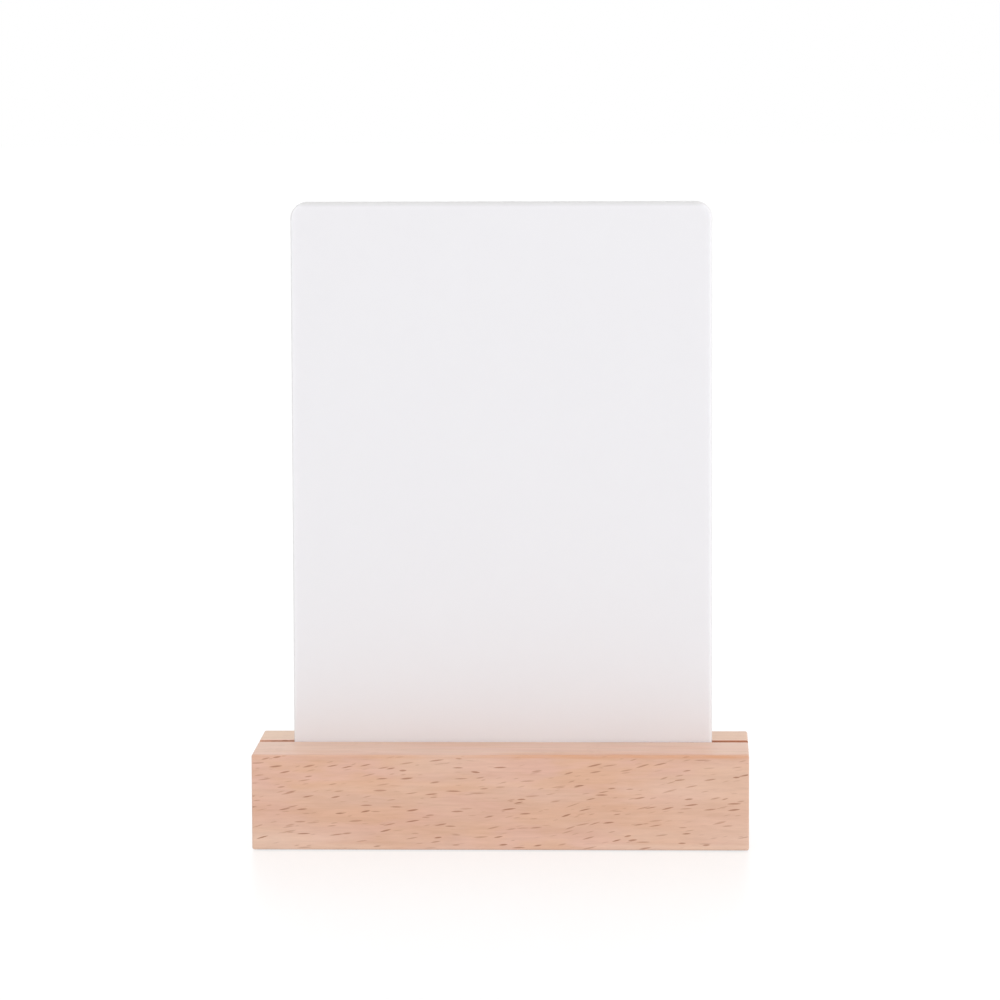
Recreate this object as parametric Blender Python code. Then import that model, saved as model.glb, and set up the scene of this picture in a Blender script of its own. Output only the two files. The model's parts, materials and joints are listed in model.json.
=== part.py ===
"""Acrylic night light: a white acrylic panel in the groove of a beech block that holds a row of LEDs.

Everything is in metres and +Z is up. The front of the lamp faces -Y, and the origin is on the table under
the middle of the block. The block is worked out from what it holds: its length from the panel and the LED
board, its height from the cover, the wiring space and the groove, and its depth from the ledge before the
groove and the control module.
"""

import math

import bmesh
import bpy
from mathutils import Euler, Vector

MM = 0.001

# Clearances
SEAT_GAP = 0.3 * MM  # between a piece and the seat that it rests on
FIT_GAP = 0.3 * MM  # around a piece that is let into another
SOLDER_GAP = 0.1 * MM  # between an electronic part and its board
OVERRUN = 1.0 * MM  # how far a cutter passes the faces that it opens
MERGE_GAP = 0.00001 * MM  # points closer than this are one

# Acrylic panel
PANEL_WIDTH = 128.0 * MM
PANEL_HEIGHT = 178.0 * MM
PANEL_THICKNESS = 4.0 * MM
PANEL_CORNER = 5.0 * MM
PANEL_EDGE = 0.8 * MM  # eased edge round both faces
PANEL_REST = 12.0 * MM  # length of groove floor under each end of the panel

# Groove that runs through the block from end to end
GROOVE_PLAY = 0.2 * MM  # beside each face of the panel
GROOVE_DEPTH = 13.0 * MM
GROOVE_LIP = 0.2 * MM  # chamfer of its upper edges
FRONT_LEDGE = 26.5 * MM  # from the block's front to the groove

# Beech block
WOOD_EDGE = 0.6 * MM
BLOCK_RIM = 11.5 * MM  # beyond the cover at each end
WINDOW_WEB = 2.2 * MM  # wood between the LED pocket and the groove
POCKET_CORNER = 3.0 * MM

# LED board and its pocket
LED_BOARD_WIDTH = 10.0 * MM
LED_BOARD_END = 7.0 * MM  # beyond the light window at each end
BOARD_THICKNESS = 1.2 * MM
POCKET_PLAY = 0.5 * MM
WIRING_SPACE = 10.0 * MM  # between the bottom cover and the LED board
LED_LENGTH = 3.5 * MM
LED_WIDTH = 2.8 * MM
LED_HEIGHT = 0.8 * MM
LED_RIM = 0.4 * MM
LED_GEL_SUNK = 0.15 * MM  # phosphor gel below the rim
LED_PITCH = 9.0 * MM
RESISTOR_LENGTH = 2.0 * MM
RESISTOR_WIDTH = 1.25 * MM
RESISTOR_HEIGHT = 0.5 * MM
RESISTOR_EVERY = 3  # one resistor for each group of this many LEDs

# Bottom cover
COVER_THICKNESS = 1.8 * MM
COVER_SUNK = 0.2 * MM  # below the underside of the wood
COVER_FLANK = 9.5 * MM  # beside the LED pocket
COVER_END = 4.0 * MM  # beyond the LED pocket
COVER_CORNER = 4.0 * MM
POST_DIAMETER = 3.0 * MM  # posts that press the LED board to the pocket's ceiling
POST_COUNT = 4
RIB_THICKNESS = 1.2 * MM
RIB_HEIGHT = 3.0 * MM
COVER_SCREW_HEAD = 5.6 * MM
COVER_SCREW_SHANK = 2.6 * MM
COVER_SCREW_LENGTH = 11.0 * MM
COVER_SCREW_INSET = 2.0 * MM  # from the end of the LED pocket

# Feet
FOOT_DIAMETER = 8.0 * MM
FOOT_THICKNESS = 1.5 * MM
FOOT_PROUD = 0.3 * MM
FOOT_INSET = 6.0 * MM  # from the block's front and rear faces to a foot's centre
FOOT_EDGE = 0.25 * MM

# Rear plate
PLATE_RECESS = 2.0 * MM  # below the rear face of the block
PLATE_THICKNESS = 1.6 * MM
PLATE_FLANGE = 7.0 * MM  # beyond the module pocket at each end
PLATE_BORDER = 1.8 * MM  # above and below the module pocket
PLATE_CORNER = 5.0 * MM
PLATE_EDGE = 0.3 * MM
BOSS_DIAMETER = 4.4 * MM
BOSS_LENGTH = 8.0 * MM
PLATE_SCREW_HEAD = 4.2 * MM
PLATE_SCREW_SHANK = 2.0 * MM
PLATE_SCREW_LENGTH = 9.0 * MM

# Control board
CONTROL_HEIGHT = 10.4 * MM
CONTROL_EDGE = 0.5 * MM  # beyond each boss
BOSS_SPACE = 1.0 * MM  # between a boss and its neighbour on the board
PART_SPACE = 2.4 * MM  # between the socket and the switch
MODULE_PLAY = 1.2 * MM  # around the board in its pocket
MODULE_DEPTH = 2.7 * MM  # between the control board and the LED pocket
BOARD_SCREW_HEAD = 3.4 * MM
BOARD_SCREW_HEAD_HEIGHT = 1.3 * MM
BOARD_SCREW_SHANK = 1.7 * MM
BOARD_SCREW_LENGTH = 6.5 * MM

# Power socket
SOCKET_WIDTH = 8.94 * MM
SOCKET_HEIGHT = 3.26 * MM
SOCKET_WALL = 0.3 * MM
SOCKET_SUNK = 0.1 * MM  # below the face of the plate
SOCKET_BASE = 1.7 * MM  # thickness of the moulding that closes it
SOCKET_LEG_WIDTH = 1.2 * MM
SOCKET_LEG_OFFSET = 2.4 * MM
LEG_REACH = 0.7 * MM  # of legs and pins past the control board
TONGUE_WIDTH = 6.69 * MM
TONGUE_THICKNESS = 0.7 * MM
TONGUE_SETBACK = 0.7 * MM  # from the mouth of the shell
CONTACT_WIDTH = 0.25 * MM
CONTACT_PITCH = 0.5 * MM
CONTACT_PROUD = 0.05 * MM  # of the tongue
CONTACT_LENGTH = 3.5 * MM
CONTACT_COUNT = 12

# Push switch and button
SWITCH_SIDE = 7.0 * MM
SWITCH_WALL = 1.0 * MM
SWITCH_CORNER = 0.4 * MM
SWITCH_ROOM = 2.0 * MM  # between the plate and the switch, for the button's skirt
LID_THICKNESS = 0.4 * MM
FLANGE_PLAY = 0.3 * MM
FLANGE_THICKNESS = 1.0 * MM
STEM_DIAMETER = 3.0 * MM
STEM_REACH = 2.9 * MM  # of the stem past the lid
SPRING_WIRE = 0.34 * MM
SPRING_DIAMETER = 3.0 * MM  # of the wire's centre line
SPRING_TURNS = 4
BUTTON_DIAMETER = 7.0 * MM
BUTTON_PROUD = 1.6 * MM
BUTTON_TRAVEL = 1.5 * MM
BUTTON_EDGE = 0.5 * MM
BUTTON_DISH = 0.25 * MM
PIN_WIDTH = 0.6 * MM
PIN_THICKNESS = 0.3 * MM
PIN_PITCH = 2.0 * MM
PIN_ROW = 4.5 * MM  # between the two rows of pins
PIN_COUNT = 3  # in a row

# Parts on the inner face of the control board
CHIP_LENGTH = 2.9 * MM
CHIP_WIDTH = 1.6 * MM
CHIP_HEIGHT = 1.1 * MM
CHIP_LEG_WIDTH = 0.4 * MM
CHIP_LEG_PITCH = 0.95 * MM
CHIP_LEG_SPREAD = 2.8 * MM
CHIP_LEG_THICKNESS = 0.2 * MM
CHIP_LEG_COUNT = 3  # on a side
CHIP_RISE = 3.6 * MM  # above the middle of the socket
CAPACITOR_LENGTH = 2.0 * MM
CAPACITOR_WIDTH = 1.25 * MM
CAPACITOR_HEIGHT = 1.25 * MM
CHIP_EDGE = 0.1 * MM

# Leads from the control board to the LED board
LEAD_DIAMETER = 1.1 * MM
LEAD_SPACING = 1.8 * MM
LEAD_END = 4.0 * MM  # from the end of the LED board to the leads' joints
LEAD_SAG = 3.4 * MM  # of the leads below the LED board

# Cross recess in a screw head
CROSS_SHARE = 0.56  # its span, of the head's diameter
CROSS_ARM_SHARE = 0.14  # its arm's width, of the head's diameter
CROSS_DEPTH_SHARE = 0.2  # its depth, of the head's diameter
PAN_TOP_SHARE = 0.8  # flat top of a pan head, of its diameter

# Facets
CORNER_STEPS = 5
SMALL_CORNER_STEPS = 2
ROUND_STEPS = 24  # as many as the points of a cross recess, which lie opposite
EDGE_SEGMENTS = 3
COIL_STEPS = 10
LEAD_STEPS = 9

# Block worked out from what it holds
GROOVE_WIDTH = PANEL_THICKNESS + 2 * GROOVE_PLAY
WINDOW_LENGTH = PANEL_WIDTH - 2 * PANEL_REST
LED_BOARD_LENGTH = WINDOW_LENGTH + 2 * LED_BOARD_END
POCKET_LENGTH = LED_BOARD_LENGTH + 2 * POCKET_PLAY
POCKET_WIDTH = LED_BOARD_WIDTH + 2 * POCKET_PLAY
REBATE_LENGTH = POCKET_LENGTH + 2 * COVER_END
REBATE_WIDTH = POCKET_WIDTH + 2 * COVER_FLANK
REBATE_DEPTH = COVER_SUNK + COVER_THICKNESS + SEAT_GAP
BOARD_DROP = PLATE_THICKNESS + BOSS_LENGTH + SEAT_GAP  # from the plate's face to the control board
REAR_LEDGE = (
    PLATE_RECESS + BOARD_DROP + BOARD_THICKNESS + MODULE_DEPTH + (POCKET_WIDTH - GROOVE_WIDTH) / 2
)
BLOCK_LENGTH = REBATE_LENGTH + 2 * BLOCK_RIM
BLOCK_DEPTH = FRONT_LEDGE + GROOVE_WIDTH + REAR_LEDGE
BLOCK_HEIGHT = REBATE_DEPTH + WIRING_SPACE + BOARD_THICKNESS + SEAT_GAP + WINDOW_WEB + GROOVE_DEPTH

# Places that several pieces share
BLOCK_BOTTOM = FOOT_PROUD
BLOCK_TOP = BLOCK_BOTTOM + BLOCK_HEIGHT
REBATE_TOP = BLOCK_BOTTOM + REBATE_DEPTH
LED_BOARD_BOTTOM = REBATE_TOP + WIRING_SPACE
LED_BOARD_TOP = LED_BOARD_BOTTOM + BOARD_THICKNESS
POCKET_TOP = LED_BOARD_TOP + SEAT_GAP
GROOVE_FLOOR = POCKET_TOP + WINDOW_WEB
GROOVE_Y = -BLOCK_DEPTH / 2 + FRONT_LEDGE + GROOVE_WIDTH / 2
REAR_Y = BLOCK_DEPTH / 2
PLATE_Y = REAR_Y - PLATE_RECESS
MODULE_Z = (BLOCK_BOTTOM + BLOCK_TOP) / 2
COVER_SCREW_X = POCKET_LENGTH / 2 - COVER_SCREW_INSET
COVER_SCREW_Y = (POCKET_WIDTH + COVER_FLANK) / 2
FOOT_X = (BLOCK_LENGTH - BLOCK_RIM) / 2
FOOT_Y = REAR_Y - FOOT_INSET

# Control module, in its own frame: X to the right as seen from behind, Y up and Z out of the plate's face
CONTROL_WIDTH = (
    2 * (CONTROL_EDGE + BOSS_DIAMETER + BOSS_SPACE) + SOCKET_WIDTH + PART_SPACE + SWITCH_SIDE
)
BOSS_X = CONTROL_WIDTH / 2 - CONTROL_EDGE - BOSS_DIAMETER / 2
SWITCH_X = BOSS_X - BOSS_DIAMETER / 2 - BOSS_SPACE - SWITCH_SIDE / 2
SOCKET_X = -BOSS_X + BOSS_DIAMETER / 2 + BOSS_SPACE + SOCKET_WIDTH / 2
MODULE_POCKET_WIDTH = CONTROL_WIDTH + 2 * MODULE_PLAY
MODULE_POCKET_HEIGHT = CONTROL_HEIGHT + 2 * MODULE_PLAY
PLATE_WIDTH = MODULE_POCKET_WIDTH + 2 * PLATE_FLANGE
PLATE_HEIGHT = MODULE_POCKET_HEIGHT + 2 * PLATE_BORDER
PLATE_SCREW_X = (MODULE_POCKET_WIDTH + PLATE_FLANGE) / 2
BOARD_FACE = -BOARD_DROP  # outer face of the control board
BOARD_BACK = BOARD_FACE - BOARD_THICKNESS
LID_TOP = -(PLATE_THICKNESS + SWITCH_ROOM)
HOUSING_TOP = LID_TOP - LID_THICKNESS - SOLDER_GAP
HOUSING_BOTTOM = BOARD_FACE + SOLDER_GAP
CAVITY_FLOOR = HOUSING_BOTTOM + SWITCH_WALL
CAVITY_SIDE = SWITCH_SIDE - 2 * SWITCH_WALL
FLANGE_TOP = HOUSING_TOP - SOLDER_GAP
BUTTON_BACK = LID_TOP + BUTTON_TRAVEL + SEAT_GAP

# Turns a drawing in X and Y, extruded along Z, to stand elsewhere
FACING_FRONT = (math.pi / 2, 0, 0)
FACING_REAR = (math.pi / 2, 0, math.pi)
ALONG_X = (math.pi / 2, 0, math.pi / 2)


def clear_scene():
    for obj in list(bpy.data.objects):
        bpy.data.objects.remove(obj)


def material(name, colour, roughness, metallic=0.0):
    """A Principled BSDF with one colour."""
    made = bpy.data.materials.new(name)
    made.use_nodes = True
    shader = made.node_tree.nodes["Principled BSDF"]
    shader.inputs["Base Color"].default_value = (*colour, 1.0)
    shader.inputs["Roughness"].default_value = roughness
    shader.inputs["Metallic"].default_value = metallic
    made.diffuse_color = (*colour, 1.0)
    return made


def rectangle(width, height, radius=0.0, steps=CORNER_STEPS):
    """Outline of a rectangle about the origin, counter-clockwise, with rounded corners where asked."""
    corners = ((1, 1), (-1, 1), (-1, -1), (1, -1))
    if not radius:
        return [(side_x * width / 2, side_y * height / 2) for side_x, side_y in corners]
    radius = min(radius, width / 2, height / 2)
    points = []
    for quarter, (side_x, side_y) in enumerate(corners):
        centre = Vector((side_x * (width / 2 - radius), side_y * (height / 2 - radius)))
        for step in range(steps + 1):
            angle = math.pi / 2 * (quarter + step / steps)
            points.append(tuple(centre + radius * Vector((math.cos(angle), math.sin(angle)))))
    return points


def circle(diameter, steps=ROUND_STEPS):
    turns = [2 * math.pi * step / steps for step in range(steps)]
    return [(diameter / 2 * math.cos(turn), diameter / 2 * math.sin(turn)) for turn in turns]


def cross(span, arm):
    """Outline of a cross of two equal arms, with as many points as a circle, each towards its fellow."""
    far, near = span / 2, arm / 2
    middle = (far + near) / 2
    quarter = [(far, 0), (far, near), (middle, near), (near, near), (near, middle), (near, far)]
    points = []
    for _ in range(4):
        points += quarter
        quarter = [(-y, x) for x, y in quarter]
    return points


def loft(bm, sections, at=(0, 0, 0), ring=False):
    """Skins outlines of equal point counts, each with its height. A ring joins the last to the first."""
    rows = [[bm.verts.new(Vector((x, y, z)) + Vector(at)) for x, y in outline] for outline, z in sections]
    count = len(rows[0])
    pairs = list(zip(rows, rows[1:]))
    if ring:
        pairs.append((rows[-1], rows[0]))
    else:
        bm.faces.new(list(reversed(rows[0])))
        bm.faces.new(rows[-1])
    for lower, upper in pairs:
        for i in range(count):
            bm.faces.new((lower[i], lower[(i + 1) % count], upper[(i + 1) % count], upper[i]))


def prism(bm, outline, bottom, top, at=(0, 0, 0)):
    loft(bm, [(outline, bottom), (outline, top)], at)


def finish(name, bm, coat=None, parent=None, location=(0, 0, 0), rotation=(0, 0, 0), smooth=40):
    """Turns the drawing into an object, placed in its parent's frame."""
    bmesh.ops.remove_doubles(bm, verts=bm.verts, dist=MERGE_GAP)
    bmesh.ops.recalc_face_normals(bm, faces=bm.faces)
    mesh = bpy.data.meshes.new(name)
    bm.to_mesh(mesh)
    bm.free()
    mesh.shade_smooth()
    mesh.set_sharp_from_angle(angle=math.radians(smooth))
    return add(name, mesh, coat, parent, location, rotation)


def add(name, data, coat=None, parent=None, location=(0, 0, 0), rotation=(0, 0, 0)):
    if coat and not data.materials:
        data.materials.append(coat)
    obj = bpy.data.objects.new(name, data)
    bpy.context.scene.collection.objects.link(obj)
    obj.parent = parent
    obj.location = location
    obj.rotation_euler = rotation
    return obj


def ease(obj, width, segments=EDGE_SEGMENTS, angle=50):
    """Rounds the edges that turn by more than the angle."""
    bevel = obj.modifiers.new("eased_edges", "BEVEL")
    bevel.width = width
    bevel.segments = segments
    bevel.limit_method = "ANGLE"
    bevel.angle_limit = math.radians(angle)
    bevel.use_clamp_overlap = True


def combine(body, tool, operation):
    """Cuts the tool from the body, or joins it on. The tool stays as a hidden helper."""
    boolean = body.modifiers.new(tool.name, "BOOLEAN")
    boolean.operation = operation
    boolean.solver = "EXACT"
    boolean.object = tool
    tool.hide_render = True
    tool.display_type = "WIRE"


def cut(body, *tools):
    for tool in tools:
        combine(body, tool, "DIFFERENCE")


def join(body, *tools):
    for tool in tools:
        combine(body, tool, "UNION")


def corners(x, y):
    """The four places at plus and minus x and y."""
    return [(side_x * x, side_y * y) for side_y in (-1, 1) for side_x in (-1, 1)]


def spread(count, pitch):
    """Places of a row of equal steps about zero."""
    return [(i - (count - 1) / 2) * pitch for i in range(count)]


def cross_recess(head, top):
    outline = cross(head * CROSS_SHARE, head * CROSS_ARM_SHARE)
    return [(outline, top), (outline, top - head * CROSS_DEPTH_SHARE)]


def countersunk(head, shank, length):
    """Sections of a countersunk screw, from its tip to its flat head at zero."""
    slope = (head - shank) / 2
    return [
        (circle(shank / 2), -length),
        (circle(shank), -length + shank),
        (circle(shank), -slope),
        (circle(head), 0),
        *cross_recess(head, 0),
    ]


def countersink(head, shank, depth):
    """Sections of the hole for such a screw, with its clearance."""
    slope = (head - shank) / 2
    wide, narrow = head + 2 * FIT_GAP, shank + 2 * FIT_GAP
    return [
        (circle(narrow), -depth),
        (circle(narrow), -slope),
        (circle(wide), 0),
        (circle(wide), OVERRUN),
    ]


def pan_head(head, head_height, shank, length):
    """Sections of a pan head screw whose head rests on zero and whose shank runs to -length."""
    return [
        (circle(shank / 2), -length),
        (circle(shank), -length + shank),
        (circle(shank), 0),
        (circle(head), 0),
        (circle(head), head_height / 2),
        (circle(head * PAN_TOP_SHARE), head_height),
        *cross_recess(head, head_height),
    ]


def screws(name, sections, places, coat, parent, seat, rotation=(0, 0, 0)):
    """A screw at each place, whose sections stand on the seat's height."""
    for number, (x, y) in enumerate(places, start=1):
        bm = bmesh.new()
        loft(bm, sections)
        location = Vector(seat) + Euler(rotation).to_matrix() @ Vector((x, y, 0))
        finish(f"{name}_{number}", bm, coat, parent, location, rotation)


def smooth_route(points, steps=LEAD_STEPS):
    """Points along a Catmull-Rom curve through the route."""
    ends = [2 * points[0] - points[1], *points, 2 * points[-1] - points[-2]]
    route = []
    for a, b, c, d in zip(ends, ends[1:], ends[2:], ends[3:]):
        first, second, third = c - a, 2 * a - 5 * b + 4 * c - d, 3 * b - a - 3 * c + d
        for step in range(steps):
            t = step / steps
            route.append(b + (first * t + second * t**2 + third * t**3) / 2)
    return [*route, points[-1]]


def tube(name, route, diameter, coat, parent=None, resolution=2):
    """A round wire along the route."""
    curve = bpy.data.curves.new(name, "CURVE")
    curve.dimensions = "3D"
    curve.bevel_depth = diameter / 2
    curve.bevel_resolution = resolution
    curve.use_fill_caps = True
    spline = curve.splines.new("POLY")
    spline.points.add(len(route) - 1)
    for point, place in zip(spline.points, route):
        point.co = (*place, 1.0)
    return add(name, curve, coat, parent)


def base_block(coat):
    """The beech block, with its groove and light window above and the pocket for the works below."""
    bm = bmesh.new()
    prism(bm, rectangle(BLOCK_LENGTH, BLOCK_DEPTH), BLOCK_BOTTOM, BLOCK_TOP)
    block = finish("base_block", bm, coat)
    ease(block, WOOD_EDGE)

    bm = bmesh.new()
    half, rise = GROOVE_WIDTH / 2, GROOVE_LIP + OVERRUN
    groove = [
        (-half, GROOVE_FLOOR),
        (half, GROOVE_FLOOR),
        (half, BLOCK_TOP - GROOVE_LIP),
        (half + rise, BLOCK_TOP + OVERRUN),
        (-half - rise, BLOCK_TOP + OVERRUN),
        (-half, BLOCK_TOP - GROOVE_LIP),
    ]
    reach = BLOCK_LENGTH / 2 + OVERRUN
    prism(bm, groove, -reach, reach)
    cut(block, finish("groove_cutter", bm, location=(0, GROOVE_Y, 0), rotation=ALONG_X))

    bm = bmesh.new()
    window = rectangle(WINDOW_LENGTH, GROOVE_WIDTH, GROOVE_WIDTH / 2)
    prism(bm, window, POCKET_TOP - OVERRUN, GROOVE_FLOOR + OVERRUN)
    cut(block, finish("window_cutter", bm, location=(0, GROOVE_Y, 0)))

    bm = bmesh.new()
    pocket = rectangle(POCKET_LENGTH, POCKET_WIDTH, POCKET_CORNER)
    rebate = rectangle(REBATE_LENGTH, REBATE_WIDTH, COVER_CORNER)
    loft(
        bm,
        [
            (rebate, BLOCK_BOTTOM - OVERRUN),
            (rebate, REBATE_TOP),
            (pocket, REBATE_TOP),
            (pocket, POCKET_TOP),
        ],
    )
    cut(block, finish("cover_rebate_cutter", bm, location=(0, GROOVE_Y, 0)))

    bm = bmesh.new()
    pilot = circle(COVER_SCREW_SHANK + 2 * FIT_GAP)
    pilot_end = BLOCK_BOTTOM + COVER_SUNK + COVER_SCREW_LENGTH + SEAT_GAP
    for x, y in corners(COVER_SCREW_X, COVER_SCREW_Y):
        prism(bm, pilot, REBATE_TOP - OVERRUN, pilot_end, (x, y, 0))
    cut(block, finish("cover_pilot_cutter", bm, location=(0, GROOVE_Y, 0)))

    bm = bmesh.new()
    for x, y in corners(FOOT_X, FOOT_Y):
        prism(bm, circle(FOOT_DIAMETER + 2 * FIT_GAP), -OVERRUN, FOOT_THICKNESS + SEAT_GAP, (x, y, 0))
    cut(block, finish("foot_recess_cutter", bm))
    return block


def cut_block_for_module(block, module):
    """The plate's recess in the rear face, the pocket behind it and the pilot holes of its screws."""
    bm = bmesh.new()
    recess = rectangle(PLATE_WIDTH + 2 * FIT_GAP, PLATE_HEIGHT + 2 * FIT_GAP, PLATE_CORNER + FIT_GAP)
    pocket = rectangle(MODULE_POCKET_WIDTH, MODULE_POCKET_HEIGHT, POCKET_CORNER)
    floor = -PLATE_THICKNESS - SEAT_GAP
    loft(
        bm,
        [
            (pocket, BOARD_BACK - MODULE_DEPTH - OVERRUN),
            (pocket, floor),
            (recess, floor),
            (recess, PLATE_RECESS + OVERRUN),
        ],
    )
    cut(block, finish("module_pocket_cutter", bm, parent=module))
    bm = bmesh.new()
    for side in (-1, 1):
        pilot = circle(PLATE_SCREW_SHANK + 2 * FIT_GAP)
        prism(bm, pilot, -PLATE_SCREW_LENGTH - SEAT_GAP, floor + OVERRUN, (side * PLATE_SCREW_X, 0, 0))
    cut(block, finish("plate_pilot_cutter", bm, parent=module))


def light_panel(coat, lift):
    """The acrylic sheet, with its origin at the middle of its lower edge."""
    bm = bmesh.new()
    outline = rectangle(PANEL_WIDTH, PANEL_HEIGHT, PANEL_CORNER)
    prism(bm, outline, -PANEL_THICKNESS / 2, PANEL_THICKNESS / 2, (0, PANEL_HEIGHT / 2, 0))
    panel = finish("light_panel", bm, coat, lift, rotation=FACING_FRONT)
    ease(panel, PANEL_EDGE)
    return panel


def feet(coat):
    profile = [
        (circle(FOOT_DIAMETER - 2 * FOOT_EDGE), 0),
        (circle(FOOT_DIAMETER), FOOT_EDGE),
        (circle(FOOT_DIAMETER), FOOT_THICKNESS),
    ]
    names = ("foot_front_left", "foot_front_right", "foot_rear_left", "foot_rear_right")
    for name, (x, y) in zip(names, corners(FOOT_X, FOOT_Y)):
        bm = bmesh.new()
        loft(bm, profile)
        finish(name, bm, coat, location=(x, y, 0))


def bottom_cover(coat, screw_coat):
    """The moulded cover, whose posts press the LED board to the ceiling of its pocket."""
    bottom = BLOCK_BOTTOM + COVER_SUNK
    top = bottom + COVER_THICKNESS
    place = (0, GROOVE_Y, 0)
    bm = bmesh.new()
    outline = rectangle(REBATE_LENGTH - 2 * FIT_GAP, REBATE_WIDTH - 2 * FIT_GAP, COVER_CORNER - FIT_GAP)
    prism(bm, outline, bottom, top)
    cover = finish("bottom_cover", bm, coat, location=place)

    bm = bmesh.new()
    span = WINDOW_LENGTH + LED_BOARD_END
    prism(bm, rectangle(span, RIB_THICKNESS), bottom + COVER_THICKNESS / 2, top + RIB_HEIGHT)
    join(cover, finish("cover_rib_tool", bm, location=place))
    bm = bmesh.new()
    post, post_end = circle(POST_DIAMETER), LED_BOARD_BOTTOM - SEAT_GAP
    for x in spread(POST_COUNT, span / (POST_COUNT - 1)):
        prism(bm, post, bottom + COVER_THICKNESS / 2, post_end, (x, 0, 0))
    join(cover, finish("cover_post_tool", bm, location=place))

    places = corners(COVER_SCREW_X, COVER_SCREW_Y)
    bm = bmesh.new()
    for x, y in places:
        loft(bm, countersink(COVER_SCREW_HEAD, COVER_SCREW_SHANK, COVER_THICKNESS + OVERRUN), (x, y, 0))
    face = (0, GROOVE_Y, bottom)
    below = (math.pi, 0, 0)
    cut(cover, finish("cover_countersink_cutter", bm, location=face, rotation=below))
    sections = countersunk(COVER_SCREW_HEAD, COVER_SCREW_SHANK, COVER_SCREW_LENGTH)
    screws("cover_screw", sections, places, screw_coat, None, face, below)


def led_strip(board_coat, led_coat, resistor_coat):
    """The LED board under the window, with its LEDs facing up into the panel's lower edge."""
    bm = bmesh.new()
    outline = rectangle(LED_BOARD_LENGTH, LED_BOARD_WIDTH, POCKET_CORNER - POCKET_PLAY)
    prism(bm, outline, LED_BOARD_BOTTOM, LED_BOARD_TOP)
    finish("led_board", bm, board_coat, location=(0, GROOVE_Y, 0))

    body = rectangle(LED_LENGTH, LED_WIDTH, LED_RIM / 2, SMALL_CORNER_STEPS)
    cup = rectangle(LED_LENGTH - 2 * LED_RIM, LED_WIDTH - 2 * LED_RIM, LED_RIM, SMALL_CORNER_STEPS)
    count = int((WINDOW_LENGTH - LED_LENGTH) / LED_PITCH) + 1
    foot = LED_BOARD_TOP + SOLDER_GAP
    for number, x in enumerate(spread(count, LED_PITCH), start=1):
        bm = bmesh.new()
        loft(bm, [(body, 0), (body, LED_HEIGHT), (cup, LED_HEIGHT), (cup, LED_HEIGHT - LED_GEL_SUNK)])
        finish(f"led_{number:02d}", bm, led_coat, location=(x, GROOVE_Y, foot))

    groups = count // RESISTOR_EVERY
    outline = rectangle(RESISTOR_LENGTH, RESISTOR_WIDTH)
    for number, x in enumerate(spread(groups, RESISTOR_EVERY * LED_PITCH), start=1):
        bm = bmesh.new()
        prism(bm, outline, 0, RESISTOR_HEIGHT)
        top = LED_BOARD_BOTTOM - SOLDER_GAP - RESISTOR_HEIGHT
        side = -(POST_DIAMETER + LED_BOARD_WIDTH) / 4
        finish(f"led_resistor_{number}", bm, resistor_coat, location=(x, GROOVE_Y + side, top))


def rear_plate(coat, screw_coat, module):
    """The moulded plate behind the lamp, with two bosses that carry the control board."""
    bm = bmesh.new()
    prism(bm, rectangle(PLATE_WIDTH, PLATE_HEIGHT, PLATE_CORNER), -PLATE_THICKNESS, 0)
    plate = finish("rear_plate", bm, coat, module)
    ease(plate, PLATE_EDGE)

    bosses, pilots = bmesh.new(), bmesh.new()
    for side in (-1, 1):
        place = (side * BOSS_X, 0, 0)
        prism(bosses, circle(BOSS_DIAMETER), BOARD_FACE + SEAT_GAP, -PLATE_THICKNESS / 2, place)
        end = BOARD_BACK + BOARD_SCREW_LENGTH + SEAT_GAP
        prism(pilots, circle(BOARD_SCREW_SHANK + 2 * FIT_GAP), BOARD_FACE, end, place)
    join(plate, finish("boss_tool", bosses, parent=module))
    cut(plate, finish("boss_pilot_cutter", pilots, parent=module))

    bm = bmesh.new()
    hole = rectangle(SOCKET_WIDTH + 2 * FIT_GAP, SOCKET_HEIGHT + 2 * FIT_GAP, SOCKET_HEIGHT)
    prism(bm, hole, -PLATE_THICKNESS - OVERRUN, OVERRUN, (SOCKET_X, 0, 0))
    prism(bm, circle(BUTTON_DIAMETER + 2 * FIT_GAP), -PLATE_THICKNESS - OVERRUN, OVERRUN, (SWITCH_X, 0, 0))
    cut(plate, finish("socket_and_button_cutter", bm, parent=module))

    places = [(-PLATE_SCREW_X, 0), (PLATE_SCREW_X, 0)]
    bm = bmesh.new()
    for x, y in places:
        loft(bm, countersink(PLATE_SCREW_HEAD, PLATE_SCREW_SHANK, PLATE_THICKNESS + OVERRUN), (x, y, 0))
    cut(plate, finish("plate_countersink_cutter", bm, parent=module))
    sections = countersunk(PLATE_SCREW_HEAD, PLATE_SCREW_SHANK, PLATE_SCREW_LENGTH)
    screws("plate_screw", sections, places, screw_coat, module, (0, 0, 0))


def pin_places():
    """The six pins of the push switch."""
    return [(SWITCH_X + x, y) for y in (-PIN_ROW / 2, PIN_ROW / 2) for x in spread(PIN_COUNT, PIN_PITCH)]


def socket_leg_places():
    middle = (SOCKET_HEIGHT - SOCKET_WALL) / 2
    return [(SOCKET_X + x, y) for x, y in corners(SOCKET_LEG_OFFSET, middle)]


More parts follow.
